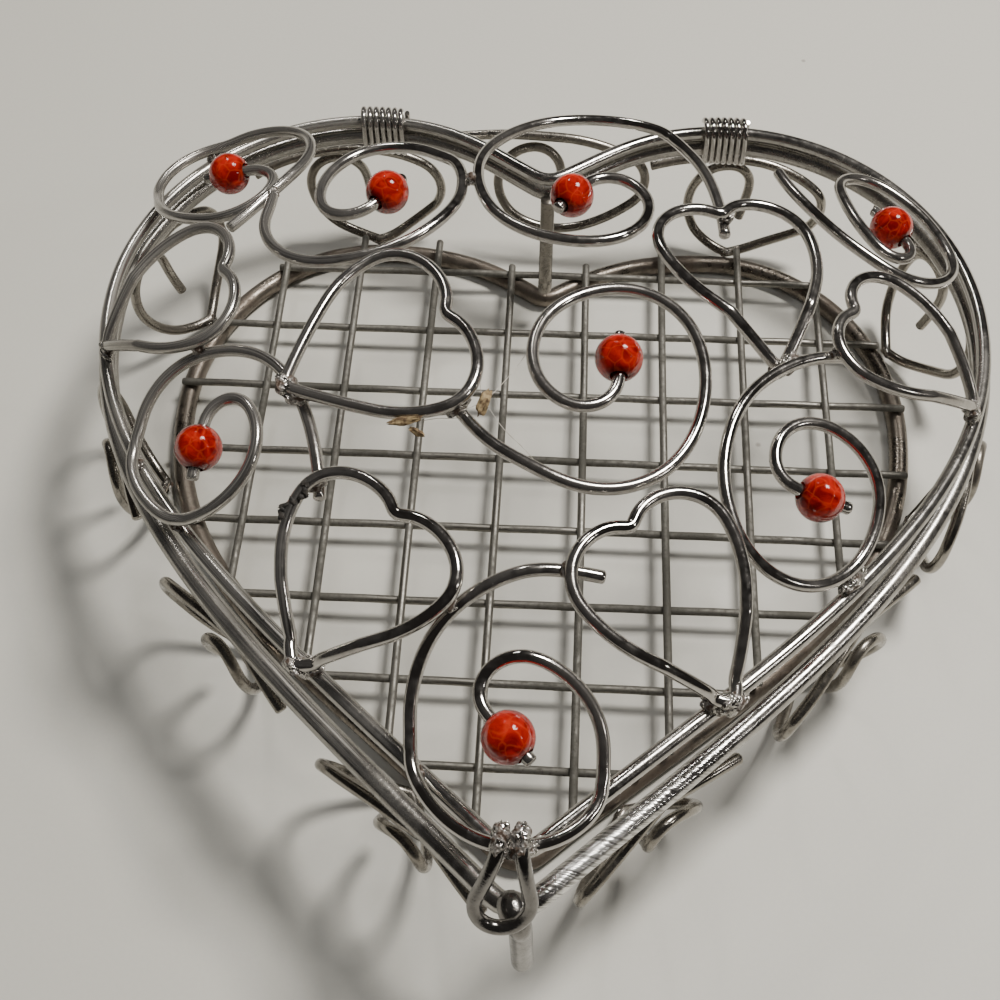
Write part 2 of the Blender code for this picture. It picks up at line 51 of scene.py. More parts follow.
# The heart along the top ring, and the rings
HALF_WIDTH, LOBE_Y, LOBE_X, BACK_Y, CUSP_Y, POINT_Y = 63.3, 22.0, 28.0, 61.0, 49.5, -63.5
POINT_BEND, POINT_SLOPE, CUSP_BEND, CUSP_SLOPE = 4.0, 42.0, 3.0, 35.0
SIDE_REACH, POINT_REACH, LOBE_REACH, CUSP_REACH = 33.0, 40.0, 13.0, 9.0
BOTTOM_WIRE, TOP_WIRE, LID_WIRE = 3.0, 2.8, 2.0
FLARE, BACK_FLARE, CUSP_FLARE, POINT_FLARE = 6.5, 5.5, 3.0, 12.5
LID_INSET, LID_POINT_INSET = 1.2, 2.3
GAP = 0.35
TOP_RING_Z = 23.4
BOTTOM_RING_Z = BOTTOM_WIRE / 2 * np.cos(np.pi / 8)

# The mesh floor
MESH_PITCH, MESH_WIRE, MESH_BITE, MESH_X, MESH_Y, MESH_OVERRUN = 12.7, 1.2, 0.3, -5.8, -1.3, 1.0
MESH_BOW, MESH_DIP = 0.12, 0.06
MESH_LOW_Z = 2 * BOTTOM_RING_Z + GAP + MESH_WIRE / 2
MESH_HIGH_Z = MESH_LOW_Z + MESH_WIRE - MESH_BITE

# The dome, the hinge and the lid's wires
SCROLL_WIRE = 1.6
BEAD, BEAD_HOLE, WIRE_PAST_BEAD = 6.0, 2.2, 0.9
HEART_HEADING = 60.0
HEART_BENDS = [(2.5, -40), (12.5, -115), (9, -30), (11.5, -6)]
TIP_SLOPE_LENGTH = 9.0
DOME_CROWN, DOME_POWER, DOME_Y, DOME_BACK_Y = 15.0, 0.75, 6.0, 64.5
LID_AJAR = 4.0
HINGE_Y = BACK_Y
HINGE_Z = TOP_RING_Z + (TOP_WIRE + LID_WIRE) / 2 + GAP
DOME_LIFT = LID_WIRE / 2 + SCROLL_WIRE / 2 + GAP + (SCROLL_WIRE + GAP) / 2
LAYER = (SCROLL_WIRE + GAP) / 2
COIL_LEFT_IN, COIL_WIRE, COIL_TURNS, COIL_PITCH, COIL_CLEARANCE = 1.2, 0.85, 7, 1.0, 0.65

# The wall's curls
CURL_WIRE, CURL_COUNT, CURL_FIRST, CURL_SHARE, CURL_BULGE = 1.6, 11, 0.54, 0.78, 4.0
CURL_BENDS = [(5, 0), (7, 90), (10, 95), (7, 60), (12, 45), (8, 15), (9, 120), (12, 20), (20, 15)]
BACK_START, BACK_BULGE = (2.0, 11.0), 2.5

# The clasp, the catch and the cusp's post
CLASP_WIRE, CLASP_SPREAD, CLASP_LOOP, CLASP_X, CLASP_SIDEWAYS = 1.7, 2.2, 6.0, -0.5, -1.0
CLASP_FLAT, CLASP_DROP, CLASP_LEAN, PRONG_LENGTH = 4.5, 9.4, 4.4, 3.2
CATCH_WIRE, CATCH_KNOB, CATCH_X, CATCH_LOW_Z, KNOB_Z = 2.7, 3.4, 0.6, 12.5, 28.6
CATCH_FOOT_X, CATCH_TOP_X, CATCH_POINTS = 1.1, 0.8, 60
POST_WIRE, POST_LOW_Z, POST_OVER_RING = 2.2, 7.0, 1.1

# Each scroll: the bead's place, the wire's heading out of it, and its bends
SCROLLS = [
    ((-47.0, 37.5), -5, [(9.5, -110), (10, -80), (16, -60), (13.5, -70), (19, -85), (11.5, -65), (15.5, -15)]),
    ((-22.0, 27.0), -120, [(9, -130), (11.5, -55), (15, -95), (15.5, -70), (21, -75), (17.5, -92), (4.4, 14)]),
    ((3.5, 26.5), 60, [(7.5, -105), (17, -120), (19, -80), (25.5, -75), (26, -105), (23, -25)]),
    ((49.0, 30.0), -55, [(8.5, -180), (13, -30), (11, -125), (15.5, -50), (18, -130), (22.5, -45)]),
    ((10.0, -4.0), -90,
     [(9.5, -120), (8.5, -60), (17.5, -85), (12.5, -75), (19.5, -55), (16.5, -75), (17, -40)]),
    ((-42.5, -13.5), 85, [(7, -130), (11.5, -80), (10, -80), (14.5, -65), (15, -90), (14.5, -60), (17, -25)]),
    ((35.0, -18.5), 175, [(3.5, -75), (10, -95), (13.5, -100), (14.5, -60), (13.5, -95), (18, -55), (17, -45)]),
    ((-1.5, -52.0), 140, [(7.5, -125), (11.5, -65), (12, -80), (12.5, -70), (16, -65), (18, -75), (13, -25)]),
]
# Each heart: the notch's place, its turn, width, height and how far its tip is let down
HEARTS = [
    ((-42.5, 12.0), -75, 1.05, 0.82, 1.9),
    ((-12.0, 0.5), -65, 1.29, 0.94, 0.0),
    ((-15.5, -27.0), -39, 1.15, 0.81, 1.9),
    ((11.5, -28.0), 39, 1.03, 0.89, 1.9),
    ((23.5, 21.5), 19, 1.02, 1.07, 3.8),
    ((40.5, 8.0), 71, 0.88, 0.84, 1.9),
]


def arc_points(centre, radius, start, end, count):
    """Points on a circle: centre + radius times (cos, sin) of angles spread from start to end."""
    a = np.radians(np.linspace(start, end, count))
    return np.stack([centre[0] + radius * np.cos(a), centre[1] + radius * np.sin(a)], 1)


def bezier(a, b, c, d, count):
    """A cubic curve: the four points weighted by (1-t)^3, 3(1-t)^2 t, 3(1-t) t^2 and t^3."""
    t = np.linspace(0.0, 1.0, count)[:, None]
    a, b, c, d = (np.array(p, float) for p in (a, b, c, d))
    return (1 - t) ** 3 * a + 3 * (1 - t) ** 2 * t * b + 3 * (1 - t) * t * t * c + t ** 3 * d


def spaced(path, count, closed=False):
    """The same line with its points at equal distances, read off its running length."""
    path = np.asarray(path, float)
    if closed:
        path = np.vstack([path, path[:1]])
    run = np.concatenate([[0.0], np.cumsum(np.linalg.norm(np.diff(path, axis=0), axis=1))])
    at = np.linspace(0.0, run[-1], count + 1 if closed else count)
    if closed:
        at = at[:-1]
    return np.stack([np.interp(at, run, path[:, k]) for k in range(path.shape[1])], 1)


def length_of(path):
    """The sum of the steps along a line."""
    return np.linalg.norm(np.diff(path, axis=0), axis=1).sum()


def heart(inset, back_inset, cusp_inset, point_inset, count=1440):
    """A heart: a round point, straight-ish sides, elliptic lobes and a round dip, then its mirror."""
    point = POINT_Y + point_inset
    slope, lean = np.radians(POINT_SLOPE), np.radians(CUSP_SLOPE)
    side_x, top_y, cusp = HALF_WIDTH - inset, BACK_Y - back_inset, CUSP_Y - cusp_inset
    bend = arc_points((0, point + POINT_BEND), POINT_BEND, -90, -90 + POINT_SLOPE, 12)
    side = bezier(bend[-1], bend[-1] + POINT_REACH * np.array([np.cos(slope), np.sin(slope)]),
                  (side_x, LOBE_Y - SIDE_REACH), (side_x, LOBE_Y), 90)
    a = np.radians(np.linspace(0, 90, 60))[:, None]
    lobe = np.hstack([LOBE_X + (side_x - LOBE_X) * np.cos(a), LOBE_Y + (top_y - LOBE_Y) * np.sin(a)])
    dip = arc_points((0, cusp + CUSP_BEND), CUSP_BEND, -90 + CUSP_SLOPE, -90, 10)
    inner = bezier(lobe[-1], (LOBE_X - LOBE_REACH, top_y),
                   dip[0] + CUSP_REACH * np.array([np.cos(lean), np.sin(lean)]), dip[0], 36)
    right = spaced(np.vstack([bend, side[1:], lobe[1:], inner[1:], dip[1:]]), count // 2 + 1)
    return np.vstack([right, right[1:-1][::-1] * [-1, 1]])


def outward(outline):
    """The direction out of an outline: its tangent turned a quarter turn."""
    along = np.roll(outline, -1, axis=0) - np.roll(outline, 1, axis=0)
    return np.stack([along[:, 1], -along[:, 0]], 1) / np.linalg.norm(along, axis=1)[:, None]


def raised(points, z):
    """Flat points lifted to a height."""
    return np.column_stack([points, np.broadcast_to(z, len(points))])


OUTLINE = heart(0.0, 0.0, 0.0, 0.0)
BOTTOM_OUTLINE = heart(FLARE, BACK_FLARE, CUSP_FLARE, POINT_FLARE)
LID_OUTLINE = heart(LID_INSET, 0.0, LID_INSET, LID_POINT_INSET)
HALF_RUN = length_of(OUTLINE[:len(OUTLINE) // 2 + 1])
POLAR = np.arctan2(LID_OUTLINE[:, 1] - DOME_Y, LID_OUTLINE[:, 0])
ORDER = np.argsort(POLAR)
RIM_ANGLE = POLAR[ORDER]
RIM_REACH = np.hypot(LID_OUTLINE[:, 0], LID_OUTLINE[:, 1] - DOME_Y)[ORDER]


def bent(start, heading, bends, step=0.25):
    """A line that turns evenly over each (length, turn): running sums of the turns and the steps."""
    runs = [(max(int(np.ceil(length / step)), 1), length, turn) for length, turn in bends]
    move = np.concatenate([np.full(n, length / n) for n, length, turn in runs])
    turns = np.radians(np.concatenate([np.full(n, turn / n) for n, length, turn in runs]))
    # a bend eases into the next one, as in hand-bent wire
    ease = np.hanning(15)
    turns = np.convolve(np.pad(turns, 7, mode="edge"), ease / ease.sum(), mode="valid")
    face = np.radians(heading) + np.cumsum(turns) - turns / 2
    line = np.cumsum(np.stack([np.cos(face), np.sin(face)], 1) * move[:, None], axis=0)
    return np.vstack([start, line + start])


def dome_height(x, y):
    """A lift plus a crown times (1 - share^2)^power, share being the way out to the rim."""
    angle = np.arctan2(y - DOME_Y, x)
    reach = np.interp(angle, RIM_ANGLE, RIM_REACH, period=2 * np.pi)
    back = DOME_BACK_Y - DOME_Y
    corner = np.arctan2(back, LOBE_X)
    between = (angle > corner) & (angle < np.pi - corner)
    straight = np.where(between, back / np.maximum(np.sin(angle), 0.2), 0.0)
    share = np.hypot(x, y - DOME_Y) / np.maximum(reach, straight)
    return DOME_LIFT + DOME_CROWN * np.maximum(1.0 - share ** 2, 0.0) ** DOME_POWER


def dome_normal(x, y):
    """The direction out of the dome, from its slope over a millimetre."""
    half = 0.5
    slope_x = dome_height(x + half, y) - dome_height(x - half, y)
    slope_y = dome_height(x, y + half) - dome_height(x, y - half)
    steep = np.maximum(np.hypot(slope_x, slope_y) / 1.5, 1.0)
    normal = np.stack([-slope_x / steep, -slope_y / steep, np.ones_like(steep)], 1)
    return normal / np.linalg.norm(normal, axis=1)[:, None]


def opened(points):
    """Points of the closed lid turned up about the hinge line by the angle it stands ajar."""
    turn = np.radians(LID_AJAR)
    y, z = points[:, 1] - HINGE_Y, points[:, 2]
    return np.stack([points[:, 0], HINGE_Y + y * np.cos(turn) + z * np.sin(turn),
                     HINGE_Z - y * np.sin(turn) + z * np.cos(turn)], 1)


def on_dome(flat, height):
    """A flat line laid over the dome at a height along its normal, on the opened lid."""
    x, y = flat[:, 0], flat[:, 1]
    normal = dome_normal(x, y)
    return opened(np.column_stack([flat, dome_height(x, y)]) + normal * np.reshape(height, (-1, 1))), normal


def grid_quads(rows, sides, closed):
    """The four-sided faces between neighbouring rows of a grid that is closed sideways."""
    i = np.arange(rows if closed else rows - 1)[:, None]
    k = np.arange(sides)[None]
    j, m = (i + 1) % rows, (k + 1) % sides
    return np.stack([i * sides + k, j * sides + k, j * sides + m, i * sides + m], -1).reshape(-1, 4)


def swept(path, width, up, closed=False, sides=16):
    """A wire: point (i, k) is path i plus the radius times (sin a_k rise_i + cos a_k out_i).

    Rise is the up direction made square to the path, and out is square to both. An open wire is
    closed by a flat face at each end, with a narrow bevel.
    """
    path = np.asarray(path, float)
    up = np.broadcast_to(np.asarray(up, float), path.shape)
    radius = np.broadcast_to(np.asarray(width, float) / 2, len(path))
    if not closed:
        first = path[0] + (path[1] - path[0]) / np.linalg.norm(path[1] - path[0]) * END_BEVEL
        last = path[-1] - (path[-1] - path[-2]) / np.linalg.norm(path[-1] - path[-2]) * END_BEVEL
        path = np.vstack([path[:1], first, path[1:-1], last, path[-1:]])
        up = np.vstack([up[:1], up[:1], up[1:-1], up[-1:], up[-1:]])
        radius = np.concatenate([[radius[0] * END_SHARE], radius, [radius[-1] * END_SHARE]])
        step = np.diff(path, axis=0)
        along = np.vstack([step, step[-1:]]) + np.vstack([step[:1], step])
    else:
        along = np.roll(path, -1, axis=0) - np.roll(path, 1, axis=0)
    along = along / np.linalg.norm(along, axis=1)[:, None]
    rise = up - (up * along).sum(1)[:, None] * along
    rise /= np.linalg.norm(rise, axis=1)[:, None]
    out = np.cross(along, rise)
    a = -np.pi / 2 + 2 * np.pi * np.arange(sides) / sides
    ring = path[:, None] + radius[:, None, None] * (np.sin(a)[None, :, None] * rise[:, None]
                                                    + np.cos(a)[None, :, None] * out[:, None])
    caps = []
    if not closed:
        end = (len(path) - 1) * sides
        caps = [list(range(sides)), list(range(end, end + sides))[::-1]]
    run = np.concatenate([[0.0], np.cumsum(np.linalg.norm(np.diff(path, axis=0), axis=1))])
    uv = np.stack(np.broadcast_arrays(run[:, None] / UV_LENGTH, np.arange(sides)[None] / sides), -1).reshape(-1, 2)
    return ring.reshape(-1, 3), grid_quads(len(path), sides, closed), caps, uv


def eased(path):
    """The path averaged over its neighbours, its heights over more of them: no step where it meets the rim."""
    parts = []
    for axis, reach in ((0, 5), (1, 5), (2, 8)):
        ease = np.hanning(2 * reach + 3)[1:-1]
        wider = np.pad(path[:, axis], reach, mode="reflect", reflect_type="odd")
        parts.append(np.convolve(wider, ease / ease.sum(), mode="valid"))
    return np.column_stack(parts)


def hand_bent(path, up, amount, seed):
    """The small waver of hand-bent wire: two sines of the running length, across the path."""
    run = np.concatenate([[0.0], np.cumsum(np.linalg.norm(np.diff(path, axis=0), axis=1))])
    step = np.gradient(path, axis=0)
    side = np.cross(step, np.broadcast_to(np.asarray(up, float), path.shape))
    side /= np.linalg.norm(side, axis=1)[:, None]
    total = run[-1] + 1.0
    waves = np.sin(run / total * 2 * np.pi * 3 + seed) + 0.5 * np.sin(run / total * 2 * np.pi * 8 + 2.3 * seed)
    return path + side * (amount * waves)[:, None]


def joined(parts):
    """Several surfaces as one: their points end to end, with the faces' numbers moved on."""
    points, quads, caps, uvs, first = [], [], [], [], 0
    for p, q, c, uv in parts:
        points.append(p)
        quads.append(q + first)
        caps += [[first + k for k in face] for face in c]
        uvs.append(uv)
        first += len(p)
    return np.vstack(points), np.vstack(quads), caps, np.vstack(uvs)


def make_piece(name, surface, material, body, node=None):
    """One piece of the box from a surface in millimetres, riding on its body."""
    points, quads, caps, uv = surface
    mesh = bpy.data.meshes.new(name)
    mesh.from_pydata(((points + PLACE) * MM).tolist(), [], quads.tolist() + caps)
    corner = np.empty(len(mesh.loops), np.int32)
    mesh.loops.foreach_get("vertex_index", corner)
    layer = mesh.uv_layers.new(name="run")
    layer.data.foreach_set("uv", uv[corner].astype(np.float32).ravel())
    mesh.shade_smooth()
    mesh.set_sharp_from_angle(angle=np.radians(SHARP_ANGLE))
    made = bpy.data.objects.new(name, mesh)
    mesh.materials.append(material)
    bpy.context.scene.collection.objects.link(made)
    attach(made, body)
    if node:
        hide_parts(node)


def node(tree, kind, inputs=None, **settings):
    """One shader node, its inputs given as plain values or as other nodes' outputs."""
    made = tree.nodes.new(kind)
    for key, value in settings.items():
        setattr(made, key, value)
    for key, value in (inputs or {}).items():
        if hasattr(value, "is_output"):
            tree.links.new(value, made.inputs[key])
        else:
            made.inputs[key].default_value = value
    return made


def maths(tree, operation, a, b=0.0, clamp=False):
    """The output of one math node."""
    return node(tree, "ShaderNodeMath", {0: a, 1: b}, operation=operation, use_clamp=clamp).outputs[0]


def between(tree, value, low, high, to_low=0.0, to_high=1.0):
    """A value stretched from one range to another and clamped."""
    return node(tree, "ShaderNodeMapRange", {"Value": value, "From Min": low, "From Max": high,
                                             "To Min": to_low, "To Max": to_high}).outputs["Result"]


def blended(tree, factor, a, b):
    """Two colours mixed by a factor."""
    return node(tree, "ShaderNodeMix", {0: factor, 6: a, 7: b}, data_type="RGBA").outputs[2]


def cloudy(tree, place, scale, detail):
    """Plain noise at a place."""
    return node(tree, "ShaderNodeTexNoise", {"Vector": place, "Scale": scale, "Detail": detail}).outputs[0]


def along_wire(tree):
    """The running length and the way round a wire, from its own UV map."""
    return node(tree, "ShaderNodeUVMap", uv_map="run").outputs[0]


def group(name, inputs, outputs):
    """An empty shader group with named sockets."""
    tree = bpy.data.node_groups.new(name, "ShaderNodeTree")
    for label, value in inputs.items():
        tree.interface.new_socket(label, in_out="INPUT", socket_type="NodeSocketFloat").default_value = value
    for label in outputs:
        tree.interface.new_socket(label, in_out="OUTPUT", socket_type="NodeSocketFloat")
    return tree, tree.nodes.new("NodeGroupInput").outputs, tree.nodes.new("NodeGroupOutput").inputs


def pitting_group():
    """Small pits and grains in plating: where fine noise is high, and in the middle of small cells."""
    tree, given, result = group("plating_pits", {"Scale": 1800.0, "Amount": 0.5}, ["Pits", "Height"])
    place = node(tree, "ShaderNodeTexCoord").outputs["Object"]
    pits = between(tree, cloudy(tree, place, given["Scale"], 3.0), 0.56, 0.68)
    cells = node(tree, "ShaderNodeTexVoronoi", {"Vector": place,
                                                "Scale": maths(tree, "MULTIPLY", given["Scale"], 0.6)})
    dots = between(tree, cells.outputs["Distance"], 0.22, 0.1)
    patches = cloudy(tree, place, 90.0, 2.0)
    where = between(tree, patches, 0.35, 0.65, 0.25, 1.0)
    both = maths(tree, "MULTIPLY", maths(tree, "MAXIMUM", pits, dots), where)
    amount = maths(tree, "MULTIPLY", both, given["Amount"], clamp=True)
    fine = cloudy(tree, place, maths(tree, "MULTIPLY", given["Scale"], 2.4), 2.0)
    height = maths(tree, "SUBTRACT", maths(tree, "MULTIPLY", fine, 0.5), amount)
    tree.links.new(amount, result["Pits"])
    tree.links.new(height, result["Height"])
    return tree


def grime_group():
    """Tarnish and grease: broad patches of noise with a finer ragged edge."""
    tree, given, result = group("wire_grime", {"Scale": 70.0, "Amount": 0.4}, ["Mask"])
    place = node(tree, "ShaderNodeTexCoord").outputs["Object"]
    broad = cloudy(tree, place, given["Scale"], 4.0)
    ragged = cloudy(tree, place, 900.0, 3.0)
    both = maths(tree, "ADD", maths(tree, "MULTIPLY", broad, 0.7), maths(tree, "MULTIPLY", ragged, 0.3))
    mask = maths(tree, "MULTIPLY", between(tree, both, 0.42, 0.6), given["Amount"], clamp=True)
    tree.links.new(mask, result["Mask"])
    return tree


PITS = pitting_group()
GRIME = grime_group()


def new_material(name):
    """A material with its Principled shader and tree."""
    made = bpy.data.materials.new(name)
    made.use_nodes = True
    return made, made.node_tree, made.node_tree.nodes["Principled BSDF"]


def plated(name, base, dull, rough, pits, grime, bump, least_metal=0.8, wear_and_painted_highlight=None, worn_from=-0.004):
    """Plated wire: a bright base, dark pits, dull tarnish that takes off some of the mirror.

    Where an amount of painted highlight is given, the wire is also dull and brushed on the left, from
    the place worn_from in metres, and right of the point it is frosted with a diagonal hatch and
    painted white between the hatch lines by that amount: a painted highlight where the key light's
    reflection falls.
    """
    made, tree, shader = new_material(name)
    pit = node(tree, "ShaderNodeGroup", node_tree=PITS)
    pit.inputs["Amount"].default_value = pits
    dirt = node(tree, "ShaderNodeGroup", node_tree=GRIME)
    dirt.inputs["Amount"].default_value = grime
    colour = blended(tree, dirt.outputs["Mask"], (*base, 1), (*dull, 1))
    colour = blended(tree, maths(tree, "MULTIPLY", pit.outputs["Pits"], 0.7), colour, (0.06, 0.05, 0.04, 1))
    roughness = maths(tree, "ADD", rough, maths(tree, "MULTIPLY", dirt.outputs["Mask"], 0.3))
    roughness = maths(tree, "ADD", roughness, maths(tree, "MULTIPLY", pit.outputs["Pits"], 0.25), clamp=True)
    height = pit.outputs["Height"]
    metal = between(tree, dirt.outputs["Mask"], 0.0, 1.0, 1.0, least_metal)
    if wear_and_painted_highlight is not None:
        place = node(tree, "ShaderNodeTexCoord").outputs["Object"]
        axes = node(tree, "ShaderNodeSeparateXYZ", {0: place}).outputs
        drawn = node(tree, "ShaderNodeMapping", {"Vector": along_wire(tree), "Scale": (0.5, 22.0, 1.0)}).outputs[0]
        brushed = between(tree, cloudy(tree, drawn, 1.0, 4.0), 0.35, 0.62)
        worn = maths(tree, "MULTIPLY", between(tree, axes[0], worn_from, worn_from - WORN_FADE), brushed)
        colour = blended(tree, maths(tree, "MULTIPLY", worn, 0.8), colour, (0.24, 0.228, 0.2, 1))
        roughness = maths(tree, "MAXIMUM", roughness, maths(tree, "MULTIPLY", worn, 0.38))
        metal = maths(tree, "SUBTRACT", metal, maths(tree, "MULTIPLY", worn, 0.3))
        # Painted highlight: right of the point the ring is painted near white, with grey hatch lines, where the key
        # light's reflection falls; the hatch relief and the added roughness are the ring's real frosting.
        near = between(tree, axes[0], 0.0005, 0.005)
        near = maths(tree, "MULTIPLY", near, between(tree, axes[0], 0.03, 0.011))
        near = maths(tree, "MULTIPLY", near, between(tree, axes[1], -0.015, -0.028, 0.0, wear_and_painted_highlight))
        slanted = node(tree, "ShaderNodeMapping", {"Vector": along_wire(tree), "Scale": (0.03, 0.4, 1.0),
                                                   "Rotation": (0.0, 0.0, 0.6)}, vector_type="TEXTURE").outputs[0]
        hatch = between(tree, cloudy(tree, slanted, 1.0, 2.0), 0.38, 0.54)
        # painted highlight colour: near white between grey hatch lines
        colour = blended(tree, near, colour, blended(tree, hatch, (0.3, 0.29, 0.28, 1), (0.97, 0.96, 0.94, 1)))
        roughness = maths(tree, "MAXIMUM", roughness, maths(tree, "MULTIPLY", near, 0.3))
        height = maths(tree, "ADD", height, maths(tree, "MULTIPLY", maths(tree, "MULTIPLY", near, hatch), 3.0))
    relief = node(tree, "ShaderNodeBump", {"Height": height, "Strength": bump, "Distance": 0.00012})
    for socket, value in (("Base Color", colour), ("Roughness", roughness), ("Metallic", metal),
                          ("Normal", relief.outputs[0])):
        tree.links.new(value, shader.inputs[socket])
    return made


def solder_material():
    """Solder: grey, lumpy and sparkling, with brown flux in its hollows."""
    made, tree, shader = new_material("solder_and_flux")
    place = node(tree, "ShaderNodeTexCoord").outputs["Object"]
    lumps = cloudy(tree, place, 900.0, 4.0)
    grains = node(tree, "ShaderNodeTexVoronoi", {"Vector": place, "Scale": 2600.0}).outputs["Distance"]
    flux = between(tree, lumps, 0.46, 0.62)
    colour = blended(tree, flux, (0.54, 0.52, 0.49, 1), (0.07, 0.045, 0.03, 1))
    height = maths(tree, "ADD", lumps, maths(tree, "MULTIPLY", grains, 0.6))
    relief = node(tree, "ShaderNodeBump", {"Height": height, "Strength": 0.9, "Distance": 0.0004})
    tree.links.new(colour, shader.inputs["Base Color"])
    tree.links.new(between(tree, flux, 0.0, 1.0, 0.18, 0.6), shader.inputs["Roughness"])
    tree.links.new(between(tree, flux, 0.0, 1.0, 1.0, 0.1), shader.inputs["Metallic"])
    tree.links.new(relief.outputs[0], shader.inputs["Normal"])
    return made


def bead_material():
    """Crackled acrylic: clear red with bright curved cracks and darker cores between them."""
    made, tree, shader = new_material("crackled_red_acrylic")
    place = node(tree, "ShaderNodeTexCoord").outputs["Object"]
    warp = node(tree, "ShaderNodeTexNoise", {"Vector": place, "Scale": 260.0, "Detail": 2.0}).outputs["Color"]
    moved = node(tree, "ShaderNodeVectorMath", {0: place, 1: node(
        tree, "ShaderNodeVectorMath", {0: warp, "Scale": 0.0022}, operation="SCALE").outputs[0]}).outputs[0]
    cells = node(tree, "ShaderNodeTexVoronoi", {"Vector": moved, "Scale": 620.0},
                 feature="DISTANCE_TO_EDGE").outputs["Distance"]
    crack = between(tree, cells, 0.09, 0.0)
    streaks = node(tree, "ShaderNodeTexNoise", {"Vector": moved, "Scale": 430.0, "Detail": 5.0,
                                                "Distortion": 1.2}).outputs[0]
    body = blended(tree, between(tree, streaks, 0.36, 0.62), (0.17, 0.003, 0.002, 1), (0.45, 0.016, 0.008, 1))
    # Painted shade: the bead is darkened towards both mouths of its hole and inside the hole.
    along = node(tree, "ShaderNodeSeparateXYZ", {0: along_wire(tree)}).outputs[1]
    mouth = between(tree, maths(tree, "ABSOLUTE", maths(tree, "SUBTRACT", along, 0.39)), 0.27, 0.4)
    body = blended(tree, mouth, body, (0.06, 0.001, 0.001, 1))
    colour = blended(tree, maths(tree, "MULTIPLY", crack, 0.17), body, (1.0, 0.12, 0.03, 1))
    fine = cloudy(tree, place, 1500.0, 2.0)
    relief = node(tree, "ShaderNodeBump", {"Height": maths(tree, "ADD", fine, streaks), "Strength": 0.12,
                                           "Distance": 0.0003})
    tree.links.new(colour, shader.inputs["Base Color"])
    tree.links.new(between(tree, fine, 0.3, 0.7, 0.05, 0.14), shader.inputs["Roughness"])
    tree.links.new(relief.outputs[0], shader.inputs["Normal"])
    shader.inputs["Transmission Weight"].default_value = 0.12
    shader.inputs["IOR"].default_value = 1.3
    shader.inputs["Specular IOR Level"].default_value = 0.4
    shader.inputs["Metallic"].default_value = 0.0
    return made


def dry_material(name, light, dark, scale, rough):
    """A dry, matt crumb: two colours in broken noise."""
    made, tree, shader = new_material(name)
    place = node(tree, "ShaderNodeTexCoord").outputs["Object"]
    noise = cloudy(tree, place, scale, 4.0)
    colour = blended(tree, between(tree, noise, 0.4, 0.62), (*light, 1), (*dark, 1))
    tree.links.new(colour, shader.inputs["Base Color"])
    relief = node(tree, "ShaderNodeBump", {"Height": noise, "Strength": 0.9, "Distance": 0.0003})
    tree.links.new(relief.outputs[0], shader.inputs["Normal"])
    shader.inputs["Roughness"].default_value = rough
    return made


BRIGHT = plated("bright_plated_wire", (0.55, 0.53, 0.505), (0.16, 0.135, 0.11), 0.09, 0.3, 0.4, 0.1, 0.8, 0.0, -0.02)
# The top rim carries the painted highlight right of the point, as well as its real frosting.
RIM = plated("frosted_top_rim_painted_highlight", (0.5, 0.485, 0.46), (0.17, 0.15, 0.125), 0.15, 0.4, 0.5, 0.16, 0.75, 1.0)
LID_RIM = plated("worn_lid_rim", (0.52, 0.505, 0.48), (0.17, 0.15, 0.125), 0.12, 0.35, 0.45, 0.12, 0.75, 0.0)
# A darker copy of the plated wire for the catch and the clasp: partly the wire's own darker tone, partly painted
# shade for the shadowed floor and dim room they reflect.
KNOB = plated("dark_catch_wire_painted_shade", (0.28, 0.27, 0.26), (0.07, 0.06, 0.05), 0.13, 0.3, 0.35, 0.3)
AGED = plated("aged_wall_wire", (0.36, 0.34, 0.305), (0.12, 0.1, 0.075), 0.18, 0.5, 0.55, 0.2, 0.7)
BASE = plated("dull_base_rim", (0.23, 0.205, 0.175), (0.1, 0.075, 0.055), 0.26, 0.55, 0.8, 0.35, 0.5)
ZINC = plated("dull_mesh_wire", (0.25, 0.24, 0.215), (0.1, 0.095, 0.08), 0.45, 0.4, 1.0, 0.3, 0.3)
SOLDER = solder_material()
RED = bead_material()
HUSK = dry_material("brown_husk", (0.34, 0.25, 0.13), (0.08, 0.045, 0.02), 1400.0, 0.8)
SOOT = dry_material("dark_crust", (0.035, 0.03, 0.025), (0.008, 0.007, 0.006), 1500.0, 0.7)
THREAD = dry_material("dust_thread", (0.62, 0.58, 0.52), (0.4, 0.36, 0.3), 900.0, 0.9)

LINES = {}


def scroll_line(number):
    """The line of a scroll: straight through its bead, round its bends, over the dome."""
    place, heading, bends = SCROLLS[number]
    start = np.array(place)
    inside, before = BEAD / 2 + GAP, BEAD / 2 + WIRE_PAST_BEAD
    way = np.array([np.cos(np.radians(heading)), np.sin(np.radians(heading))])
    line = bent(start - before * way, heading, [(before + inside, 0)] + bends)
    flat = spaced(line, int(length_of(line) / 0.55))
    path, normal = on_dome(flat, -LAYER)
    middle, out = on_dome(np.array([start - 0.5 * way, start, start + 0.5 * way]), -LAYER)
    axis = middle[2] - middle[0]
    axis /= np.linalg.norm(axis)
    far = np.linalg.norm(path - middle[1], axis=1)
    on_axis = middle[1] + ((path - middle[1]) @ axis)[:, None] * axis
    early = np.arange(len(path)) * 0.55 < before + inside + 2.0
    share = np.where(early, np.clip((inside + 2.0 - far) / 2.0, 0.0, 1.0), 0.0)[:, None]
    return path * (1 - share) + on_axis * share, normal, middle[1], axis


